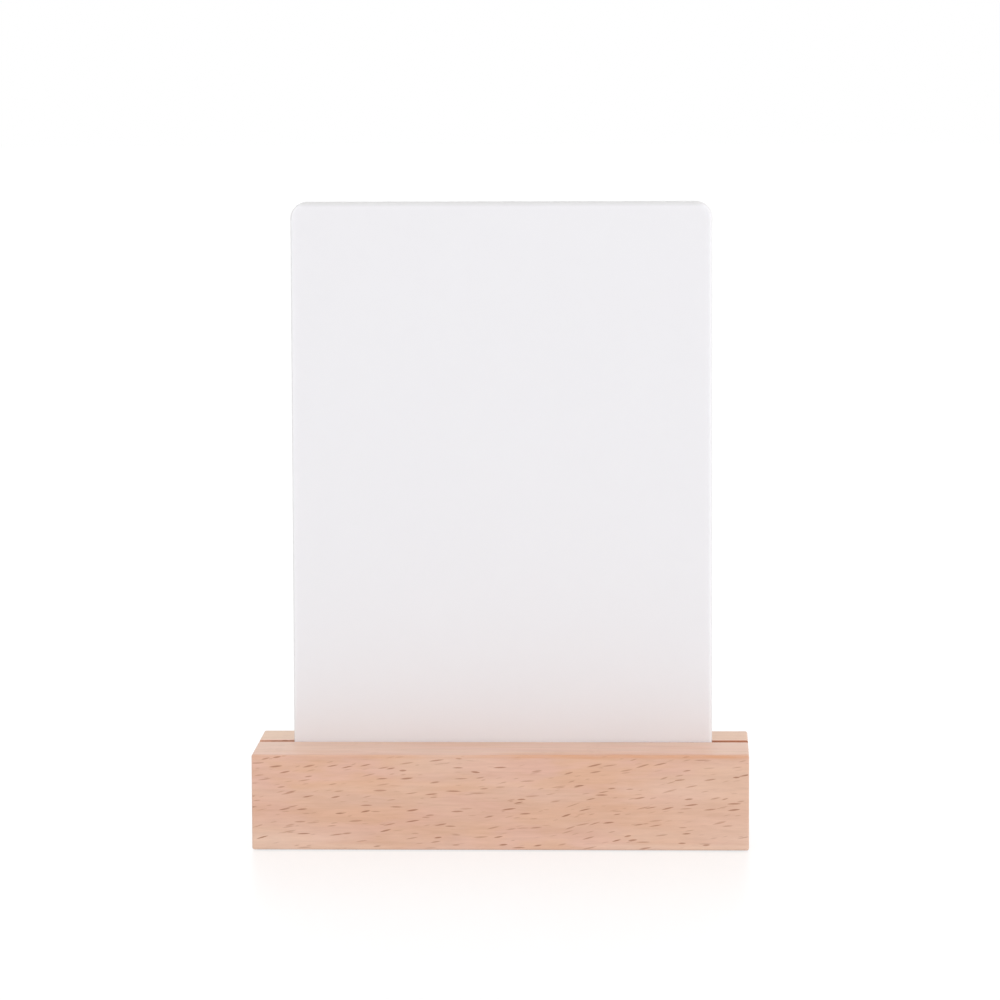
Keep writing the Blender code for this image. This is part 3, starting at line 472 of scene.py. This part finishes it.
def beech_patches(surface, spot):
    """Soft patches of colour, darker along the front's middle, with painted light from the floor at the
    lower corners and along the foot, painted sheen on the top towards the ends, and painted light on the top
    behind the groove.
    """
    shifted = surface.vector("SUBTRACT", spot.point, PATCH_SHIFT)
    warmth = surface.clouds(shifted, WARMTH_WAVES, WARMTH_STEP)
    patches = surface.clouds(shifted, PATCH_WAVES, PATCH_STEP, detail=3.0)
    wood = surface.mix(warmth, BEECH_ORANGE, BEECH_PINK)
    wood = surface.mix(surface.times(patches, PATCH_SHARE), wood, BEECH)

    # Painted light from the white floor, low on the front and strongest at its lower corners and ends, and
    # painted sheen on the top towards the ends
    outward = surface.ramp(surface.away(spot.x, PAINTED_LIGHT_MIDDLE), PAINTED_LIGHT_OUTWARD_STEP)
    downward = surface.ramp(spot.z, PAINTED_LIGHT_DOWNWARD_STEP)
    corner = surface.times(surface.most(outward, PAINTED_LIGHT_LEAST_SHARE), downward)
    above = surface.times(spot.along_z, surface.between(outward, TOP_SHEEN_SHARES))
    painted_light = surface.plus(surface.times(corner, CORNER_LIGHT_SHARE), above)
    beside = surface.ramp(surface.away(spot.x, FOOT_LIGHT_MIDDLE), FOOT_LIGHT_OUTWARD_STEP)
    foot = surface.times(beside, surface.ramp(spot.z, FOOT_LIGHT_DOWNWARD_STEP))
    painted_light = surface.most(painted_light, surface.times(foot, FOOT_LIGHT_SHARE))
    wood = surface.mix(painted_light, wood, BEECH_PAINTED_LIGHT)

    # Painted light on the top behind the groove, where the panel shades it, less of it towards the right
    behind = surface.times(spot.along_z, surface.ramp(spot.y, REAR_LIGHT_STEP))
    rear_light = surface.mix(spot.rightward, BEECH_REAR_LIGHT, BEECH_REAR_LIGHT_RIGHT)
    wood = surface.mix(surface.times(behind, REAR_LIGHT_SHARE), wood, rear_light)
    core = surface.band(surface.away(spot.z, CORE_HEIGHT), CORE_HALF_HEIGHT, CORE_BLUR)
    core = surface.times(core, spot.on_front)
    return surface.mix(surface.times(core, CORE_SHARE), wood, BEECH_CORE)


def beech_tones(surface, spot, fibres):
    """Lightness of the growth rings, streaks and fibres: red varies less than green, and blue more."""
    from_y = surface.less(spot.y, RING_CENTRE[0])
    from_z = surface.less(spot.z, RING_CENTRE[1])
    squares = surface.plus(surface.times(from_y, from_y), surface.times(from_z, from_z))
    sway = surface.times(surface.noise(spot.point, SWAY_WAVES), SWAY_REACH)
    radius = surface.plus(surface.math("SQRT", squares), sway)
    ring = surface.math("FRACT", surface.over(radius, RING_WIDTH))
    late_wood = surface.times(surface.ramp(ring, LATE_WOOD_STEP), surface.ramp(ring, RING_END_STEP))
    ring_tone = surface.times(late_wood, surface.between(spot.on_front, RING_SHARES))
    bands = surface.clouds(spot.point, BAND_WAVES, ends=BAND_RANGE, detail=3.0, roughness=0.6)
    band_tone = surface.times(bands, surface.between(spot.on_front, BAND_SHARES))
    streaks = surface.clouds(spot.point, STREAK_WAVES, STREAK_STEP)

    tone = surface.less(surface.ramp(fibres, NOISE_STEP, FIBRE_TONES), ring_tone)
    tone = surface.plus(tone, band_tone)
    tone = surface.less(tone, surface.times(streaks, STREAK_SHARE))
    red = surface.math("POWER", tone, RED_POWER)
    blue = surface.math("POWER", tone, BLUE_POWER)
    return surface.join(red, tone, blue)


def lenses(surface, x, z, cell, half_lengths, half_widths, shares):
    """In each cell of the X-Z plane one slim lens, tilted up to the right."""
    where = surface.join(surface.over(x, cell[0]), surface.over(z, cell[1]))
    inputs = {"Vector": where, "Scale": 1.0, "Randomness": RAY_SCATTER}
    cells = surface.node("ShaderNodeTexVoronoi", inputs, voronoi_dimensions="2D")
    off = surface.split(surface.vector("SUBTRACT", where, cells.outputs["Position"]))
    across = surface.times(off[0], cell[0])
    up = surface.times(off[1], cell[1])
    chances = surface.node("ShaderNodeSeparateColor", {0: cells.outputs["Color"]}).outputs
    other_chance = surface.math("FRACT", surface.times(chances[2], RAY_SECOND_CHANCE))

    rise = surface.less(up, surface.times(across, surface.between(chances[0], RAY_TILTS)))
    along = surface.over(across, surface.between(chances[1], half_lengths))
    thickness = surface.less(1.0, surface.times(along, along))
    half_width = surface.times(thickness, surface.between(chances[2], half_widths))
    inside = surface.less(half_width, surface.away(rise))
    return surface.times(surface.ramp(inside, RAY_RIM_STEP), surface.between(other_chance, shares))


def ray_ends(surface, spot):
    """Ends of the wood's rays, which run through it along Y and wander a little on their way."""
    wander = surface.times(surface.noise(spot.point, WANDER_WAVES, detail=1.0), WANDER_REACH)
    z = surface.plus(spot.z, wander)
    ends = 0.0
    for ray_set in RAY_SETS:
        shape = dict(ray_set)
        x = surface.plus(spot.x, shape.pop("shift"))
        ends = surface.most(ends, lenses(surface, x, z, **shape))
    return ends


def orange_upper_edge(surface, spot, wood):
    """An uneven orange band along the upper front edge, stronger towards the right."""
    near = surface.times(surface.ramp(spot.depth, EDGE_BAND_DEPTH_STEP), surface.ramp(spot.y, EDGE_BAND_FRONT_STEP))
    uneven = surface.clouds(spot.point, EDGE_BAND_WAVES, EDGE_BAND_STEP, EDGE_BAND_SHARES, detail=3.0)
    uneven = surface.times(uneven, surface.ramp(spot.x, EDGE_BAND_RIGHT_STEP, EDGE_BAND_RIGHT_SHARES))
    return surface.mix(surface.times(near, uneven), wood, BEECH_EDGE)


def groove_light_and_shade(surface, spot, wood):
    """Painted shade on the groove's walls, deeper towards the right, and a painted highlight along its lips.
    """
    off = surface.away(spot.y, GROOVE_MIDDLE)
    # Painted highlight along the groove's lips, near the top
    lip_highlight = surface.band(surface.away(off, LIP_OFFSET), LIP_HIGHLIGHT_HALF_WIDTH, LIP_HIGHLIGHT_BLUR)
    lip_highlight = surface.times(lip_highlight, surface.ramp(spot.depth, LIP_HIGHLIGHT_DEPTH_STEP))
    wood = surface.mix(surface.times(lip_highlight, LIP_HIGHLIGHT_SHARE), wood, BEECH_LIP_HIGHLIGHT)

    # Painted shade on the groove's walls, which begins nearer the top and is darker towards the right
    deeper = surface.less(spot.depth, surface.between(spot.rightward, GROOVE_SHADE_DEPTHS))
    above_floor = surface.less(spot.z, GROOVE_FLOOR)
    inside = surface.band(off, GROOVE_HALF_WIDTH, GROOVE_BLUR)
    inside = surface.times(inside, surface.ramp(deeper, GROOVE_SHADE_STEP))
    inside = surface.times(inside, surface.ramp(above_floor, GROOVE_SHADE_FLOOR_STEP))
    shade_patches = surface.clouds(spot.point, GROOVE_SHADE_WAVES, ends=GROOVE_SHADE_SHARES)
    shade_tint = surface.mix(spot.rightward, BEECH_GROOVE_SHADE, BEECH_GROOVE_DEEP_SHADE)
    return surface.mix(surface.times(inside, shade_patches), wood, shade_tint)


def beech():
    """Beech, as a solid: fibres along X, rings spaced along Y, and rays that run through it along Y."""
    surface = Surface("oiled_beech")
    spot = Spot(surface)
    fibres = surface.noise(spot.point, FIBRE_WAVES, detail=4.0, roughness=0.7)
    wood = beech_patches(surface, spot)
    wood = surface.mix(1.0, wood, beech_tones(surface, spot, fibres), blend="MULTIPLY")

    rays = ray_ends(surface, spot)
    on_end_grain = surface.times(spot.on_end, RAY_END_GRAIN_SHARE)
    seen = surface.plus(surface.between(spot.on_front, RAY_SHARES), on_end_grain)
    ray_tint = surface.mix(surface.noise(spot.point, RAY_TINT_WAVES), BEECH_RAY, BEECH_RAY_DARK)
    wood = surface.mix(surface.times(rays, seen), wood, ray_tint)

    # End grain is darker, with fine lines along the rays
    end_lines = surface.noise(spot.point, END_LINE_WAVES, detail=3.0, roughness=0.6)
    end_lines = surface.ramp(end_lines, END_LINE_STEP, END_LINE_SHARES)
    wood = surface.mix(surface.times(end_lines, spot.on_end), wood, BEECH_RAY)
    wood = orange_upper_edge(surface, spot, wood)
    wood = groove_light_and_shade(surface, spot, wood)

    worn = surface.ramp(fibres, NOISE_STEP, BEECH_ROUGHNESS)
    roughness = surface.less(worn, surface.times(spot.along_z, TOP_POLISH))
    surface.set(Base_Color=wood, Roughness=roughness)
    surface.bump(surface.less(surface.times(fibres, FIBRE_RELIEF_SHARE), rays), BEECH_RELIEF)
    return surface.material


def acrylic():
    """Cast acrylic, milky through and through, with satin faces and painted shade on its rounded edges along
    the sides and the top.
    """
    surface = Surface("milky_acrylic")
    point = surface.place()
    depth = surface.less(PANEL_TOP, surface.split(point)[2])
    # Painted shade on the rounded edges, where the normal turns away from Y and near the top
    beside = surface.ramp(surface.facing()[1], EDGE_SHADE_SIDE_STEP, EDGE_SHADE_SIDE_SHARES)
    above = surface.ramp(depth, EDGE_SHADE_TOP_STEP, EDGE_SHADE_TOP_SHARES)
    milk = surface.mix(surface.noise(point, MILK_WAVES), ACRYLIC, ACRYLIC_CLOUD)
    surface.set(
        Base_Color=surface.mix(surface.most(beside, above), milk, ACRYLIC_EDGE_SHADE),
        Roughness=surface.clouds(point, SATIN_WAVES, ends=SATIN_ROUGHNESS, detail=3.0),
        IOR=ACRYLIC_IOR,
        Subsurface_Weight=1.0,
        Subsurface_Radius=MILK_RADIUS,
        Subsurface_Scale=MILK_DEPTH,
    )
    return surface.material


def moulded(name, tint, roughness, waves=GRAIN_WAVES, **settings):
    """Plastic, rubber or ceramic with a fine grain, alike along all axes."""
    surface = Surface(name)
    point = surface.place()
    grains = surface.noise(point, (waves, waves, waves), detail=3.0)
    rough = surface.ramp(grains, NOISE_STEP, (roughness - GRAIN_ROUGHNESS, roughness + GRAIN_ROUGHNESS))
    base = surface.mix(surface.clouds(point, CLOUD_WAVES), tint, shaded(tint, CLOUD_SHARE))
    surface.set(Base_Color=base, Roughness=rough, **settings)
    surface.bump(grains, GRAIN_RELIEF)
    return surface.material


def metal(name, tint, roughness):
    """Plated metal with fine drawn marks and a slightly uneven gloss."""
    surface = Surface(name)
    point = surface.place()
    marks = surface.noise(point, DRAWN_WAVES, detail=3.0)
    rough = surface.ramp(marks, NOISE_STEP, (roughness - DRAWN_ROUGHNESS, roughness + DRAWN_ROUGHNESS))
    base = surface.mix(surface.clouds(point, PLATING_WAVES), tint, shaded(tint, PLATING_SHARE))
    surface.set(Base_Color=base, Roughness=rough, Metallic=1.0)
    surface.bump(marks, DRAWN_RELIEF)
    return surface.material


def finish_board(surface, point, run, base, roughness, **settings):
    """Solder mask over raised copper runs."""
    grain = surface.noise(point, MASK_WAVES, detail=3.0)
    surface.set(Base_Color=base, Roughness=surface.ramp(grain, NOISE_STEP, roughness), **settings)
    surface.bump(surface.plus(run, surface.times(grain, MASK_GRAIN_SHARE)), BOARD_RELIEF)
    return surface.material


def led_board_coat():
    """White solder mask over two wide copper runs, with a tinned pad at each end of every LED."""
    surface = Surface("white_led_board")
    point = surface.place()
    x, y, _ = surface.split(point)
    off = surface.away(y, GROOVE_MIDDLE)
    from_led = surface.away(surface.math("WRAP", x, LED_PITCH, 0.0), LED_PITCH / 2)
    pad = surface.band(surface.away(from_led, PAD_OFFSET), PAD_HALF_LENGTH, PAD_BLUR)
    pad = surface.times(pad, surface.band(off, PAD_HALF_WIDTH, PAD_BLUR))
    run = surface.band(surface.away(off, LED_RUN_OFFSET), LED_RUN_HALF_WIDTH, LED_RUN_BLUR)
    mask = surface.mix(surface.times(run, LED_RUN_SHARE), MASK_WHITE, shaded(MASK_WHITE, LED_BOARD_SHADE))
    base = surface.mix(pad, mask, TIN)
    return finish_board(surface, point, run, base, LED_BOARD_ROUGHNESS, Metallic=pad)


def control_board_coat():
    """Green solder mask over copper runs, which show as a lighter, raised pattern."""
    surface = Surface("green_control_board")
    point = surface.place()
    x, _, z = surface.split(point)
    where = surface.join(surface.times(x, CONTROL_CELLS), surface.times(z, CONTROL_CELLS))
    cells = surface.node(
        "ShaderNodeTexVoronoi",
        {"Vector": where, "Scale": 1.0, "Randomness": CONTROL_SCATTER},
        voronoi_dimensions="2D",
        distance="CHEBYCHEV",
        feature="F2",
    )
    gap = surface.math("FRACT", surface.times(cells.outputs["Distance"], CONTROL_RUNS))
    run = surface.ramp(gap, CONTROL_RUN_STEP)
    base = surface.mix(run, MASK_GREEN, shaded(MASK_GREEN, CONTROL_SHADE))
    return finish_board(surface, point, run, base, CONTROL_ROUGHNESS)


def link(name, data):
    made = bpy.data.objects.new(name, data)
    bpy.context.scene.collection.objects.link(made)
    return made


def mesh_from(bm, name):
    """The bmesh as a mesh, freed."""
    mesh = bpy.data.meshes.new(name)
    bm.to_mesh(mesh)
    bm.free()
    return mesh


def dress(obj, node, coats, edge, segments):
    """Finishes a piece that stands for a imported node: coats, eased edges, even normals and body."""
    for coat in coats:
        obj.data.materials.append(coat)
    if edge:
        bevel = obj.modifiers.new("eased_edges", "BEVEL")
        bevel.width = edge
        bevel.segments = segments
        bevel.limit_method = "ANGLE"
        bevel.angle_limit = EASED_ANGLE
    normals = obj.modifiers.new("even_normals", "WEIGHTED_NORMAL")
    normals.keep_sharp = True
    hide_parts(node)
    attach(obj, BODIES[node])
    return obj


def refined(node, coats, choose=None, edge=0.0):
    """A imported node's shape with its flat facets joined, its round faces smooth and its sharp edges eased.

    choose gives the number of the coat for a face, from its middle and its normal."""
    bm = bmesh.new()
    bm.from_mesh(frame["nodes"][node].data)
    bmesh.ops.remove_doubles(bm, verts=bm.verts, dist=MERGE_GAP)
    bmesh.ops.dissolve_limit(bm, angle_limit=FLAT_ANGLE, verts=bm.verts, edges=bm.edges)
    for face in bm.faces:
        face.material_index = choose(face.calc_center_median(), face.normal) if choose else 0
    mesh = mesh_from(bm, node + "_finished")
    mesh.shade_smooth()
    mesh.set_sharp_from_angle(angle=SMOOTH_ANGLE)
    return dress(link(node + "_finished", mesh), node, coats, edge, CUT_EDGE_SEGMENTS)


def panel_sheet():
    """The acrylic sheet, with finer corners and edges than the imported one."""
    corners = ((1, 1), (-1, 1), (-1, -1), (1, -1))
    middle = (PANEL_LOW + PANEL_HIGH) / 2
    half = (PANEL_HIGH - PANEL_LOW) / 2
    bm = bmesh.new()
    outline = []
    for quarter, (side_x, side_z) in enumerate(corners):
        for step in range(PANEL_CORNER_STEPS + 1):
            angle = math.pi / 2 * (quarter + step / PANEL_CORNER_STEPS)
            x = middle.x + side_x * (half.x - PANEL_CORNER) + PANEL_CORNER * math.cos(angle)
            z = middle.z + side_z * (half.z - PANEL_CORNER) + PANEL_CORNER * math.sin(angle)
            outline.append(bm.verts.new((x, PANEL_LOW.y, z)))
    front = bm.faces.new(outline)
    sheet = bmesh.ops.extrude_face_region(bm, geom=[front])
    moved = [item for item in sheet["geom"] if isinstance(item, bmesh.types.BMVert)]
    bmesh.ops.translate(bm, verts=moved, vec=(0, PANEL_HIGH.y - PANEL_LOW.y, 0))
    bmesh.ops.recalc_face_normals(bm, faces=bm.faces)
    mesh = mesh_from(bm, "panel_sheet")
    mesh.shade_smooth()
    coats = [COATS["opal_acrylic"]]
    dress(link("panel_sheet", mesh), "light_panel", coats, PANEL_EDGE, PANEL_EDGE_SEGMENTS)


def led(node, top):
    """An LED: a white frame, and the phosphor gel, which lies a little below its top."""
    def choose(middle, normal):
        sunk = top - middle.z
        return int(normal.z > FACES_UP and LED_GEL_SUNK < sunk < 2 * LED_GEL_SUNK)

    refined(node, [COATS["white_plastic"], COATS["led"]], choose)


def socket_tongue(node, axis):
    """The socket's moulding, with gold contacts a little proud of its tongue."""
    def choose(middle, normal):
        return int(TONGUE_HALF_THICKNESS < abs(middle.z - axis) < TONGUE_REACH)

    refined(node, [COATS[SLOTS[node]], GOLD_PLATE], choose)


def return_spring(node, far_end):
    """A spring, finished like the other pieces, with a mesh of its own."""
    joint, axis, travel, fixed_end = SPRINGS[node]
    piece = refined(node, [COATS[SLOTS[node]]])
    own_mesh(piece)
    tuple(axis)


def shown_white(surface, look, plain):
    """Cameras, mirrors and clear things see the look; other light meets the plain shader."""
    path = surface.node("ShaderNodeLightPath").outputs
    seen = surface.most(path["Is Camera Ray"], path["Is Glossy Ray"])
    seen = surface.most(seen, path["Is Transmission Ray"])
    return surface.node("ShaderNodeMixShader", {0: seen, 1: plain, 2: look}).outputs[0]


def floor():
    """A plain round floor: white to the camera, with the object's shadow and a soft reflection."""
    surface = Surface("studio_floor")
    gloss_inputs = {"Color": WHITE, "Roughness": FLOOR_ROUGHNESS}
    plain = surface.node("ShaderNodeBsdfDiffuse", {"Color": FLOOR_GREY}).outputs[0]
    white = surface.node("ShaderNodeBsdfDiffuse", {"Color": WHITE}).outputs[0]
    glow = surface.node("ShaderNodeEmission", {"Color": WHITE, "Strength": FLOOR_GLOW}).outputs[0]
    gloss = surface.node("ShaderNodeBsdfGlossy", gloss_inputs).outputs[0]
    lit = surface.node("ShaderNodeMixShader", {0: FLOOR_SHADOW_SHARE, 1: glow, 2: white}).outputs[0]
    look = surface.node("ShaderNodeMixShader", {0: FLOOR_GLOSS_SHARE, 1: lit, 2: gloss}).outputs[0]
    output = surface.tree.nodes["Material Output"]
    surface.feed(output.inputs["Surface"], shown_white(surface, look, plain))
    surface.tree.nodes.remove(surface.shader)

    bm = bmesh.new()
    bmesh.ops.create_circle(bm, cap_ends=True, segments=FLOOR_STEPS, radius=STUDIO_REACH)
    bmesh.ops.translate(bm, verts=bm.verts, vec=(0, 0, -FLOOR_GAP))
    mesh = mesh_from(bm, "studio_floor")
    mesh.materials.append(surface.material)
    link("studio_floor", mesh)


def sky():
    """A plain dome of light, white to cameras, mirrors and clear things."""
    world = bpy.data.worlds.new("studio_sky")
    bpy.context.scene.world = world
    world.use_nodes = True
    nodes, links = world.node_tree.nodes, world.node_tree.links
    path = nodes.new("ShaderNodeLightPath").outputs
    seen = path["Is Camera Ray"]
    for kind in ("Is Glossy Ray", "Is Transmission Ray"):
        either = nodes.new("ShaderNodeMath")
        either.operation = "MAXIMUM"
        links.new(seen, either.inputs[0])
        links.new(path[kind], either.inputs[1])
        seen = either.outputs[0]
    strength = nodes.new("ShaderNodeMapRange")
    strength.inputs["To Min"].default_value = SKY_STRENGTH
    strength.inputs["To Max"].default_value = 1.0
    links.new(seen, strength.inputs["Value"])
    background = nodes["Background"]
    background.inputs["Color"].default_value = WHITE
    links.new(strength.outputs[0], background.inputs["Strength"])


def lamp(name, place, side, power):
    """A square lamp that shines on the middle of the object."""
    data = bpy.data.lights.new(name, "AREA")
    data.shape = "SQUARE"
    data.size = side
    data.energy = power
    made = link(name, data)
    made.location = place
    made.rotation_euler = (Vector(LAMP_TARGET) - Vector(place)).to_track_quat("-Z", "Y").to_euler()
    made.visible_camera = False


def camera():
    """The camera of the photograph."""
    data = bpy.data.cameras.new("camera")
    data.sensor_width = SENSOR_WIDTH
    data.lens = FOCAL_PIXELS / PHOTO_PIXELS * SENSOR_WIDTH
    data.clip_end = CAMERA_SIGHT
    made = link("camera", data)
    turned = Matrix.Rotation(CAMERA_YAW, 4, "Z") @ Matrix.Rotation(math.pi / 2 - CAMERA_PITCH, 4, "X")
    made.matrix_world = Matrix.Translation(CAMERA_PLACE) @ turned @ Matrix.Rotation(CAMERA_ROLL, 4, "Z")
    bpy.context.scene.camera = made


BEHAVIOUR = frame["record"]["behaviour"]
SLOTS = {part["node"]: part["material_slot"] for part in frame["record"]["subparts"]}
BODIES = {node: body for body, nodes in BEHAVIOUR["bodies"].items() for node in nodes}
SPRINGS = {
    spring["node"]: (joint["name"], Vector(joint["axis"]), joint["range_m"][1], spring["fixed_end_y_m"])
    for joint in BEHAVIOUR["joints"]
    for spring in joint.get("deforming_nodes", [])
}
COATS = {
    "beech": beech(),
    "opal_acrylic": acrylic(),
    "white_plastic": moulded("white_plastic", PLASTIC_WHITE, roughness=0.42),
    "black_plastic": moulded("black_plastic", PLASTIC_BLACK, roughness=0.45),
    "clear_rubber": moulded(
        "frosted_rubber", RUBBER, roughness=0.55, Subsurface_Weight=0.4, Subsurface_Scale=RUBBER_DEPTH
    ),
    "screw_steel": metal("zinc_plate", ZINC, roughness=0.3),
    "socket_steel": metal("nickel_plate", NICKEL, roughness=0.24),
    "white_board": led_board_coat(),
    "green_board": control_board_coat(),
    "led": moulded(
        "phosphor_gel", PHOSPHOR, roughness=0.3, Subsurface_Weight=0.3, Subsurface_Scale=GEL_DEPTH
    ),
    "ceramic": moulded("ceramic", CERAMIC, roughness=0.5),
    "lead_red": moulded("red_pvc", PVC_RED, roughness=0.4, waves=LEAD_GRAIN_WAVES),
    "lead_black": moulded("black_pvc", PVC_BLACK, roughness=0.4, waves=LEAD_GRAIN_WAVES),
}
GOLD_PLATE = metal("gold_plate", GOLD, roughness=0.22)

camera()
sky()
floor()
lamp("key_light", KEY_PLACE, KEY_SIDE, KEY_POWER)
lamp("side_light", SIDE_PLACE, SIDE_SIDE, SIDE_POWER)

panel_sheet()
for node, slot in SLOTS.items():
    low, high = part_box(node)
    if node == "socket_tongue":
        socket_tongue(node, (low.z + high.z) / 2)
    elif node in SPRINGS:
        return_spring(node, high.y)
    elif slot == "led":
        led(node, high.z)
    elif node != "light_panel":
        refined(node, [COATS[slot]], edge=CUT_EDGE if slot in EASED_SLOTS else 0.0)
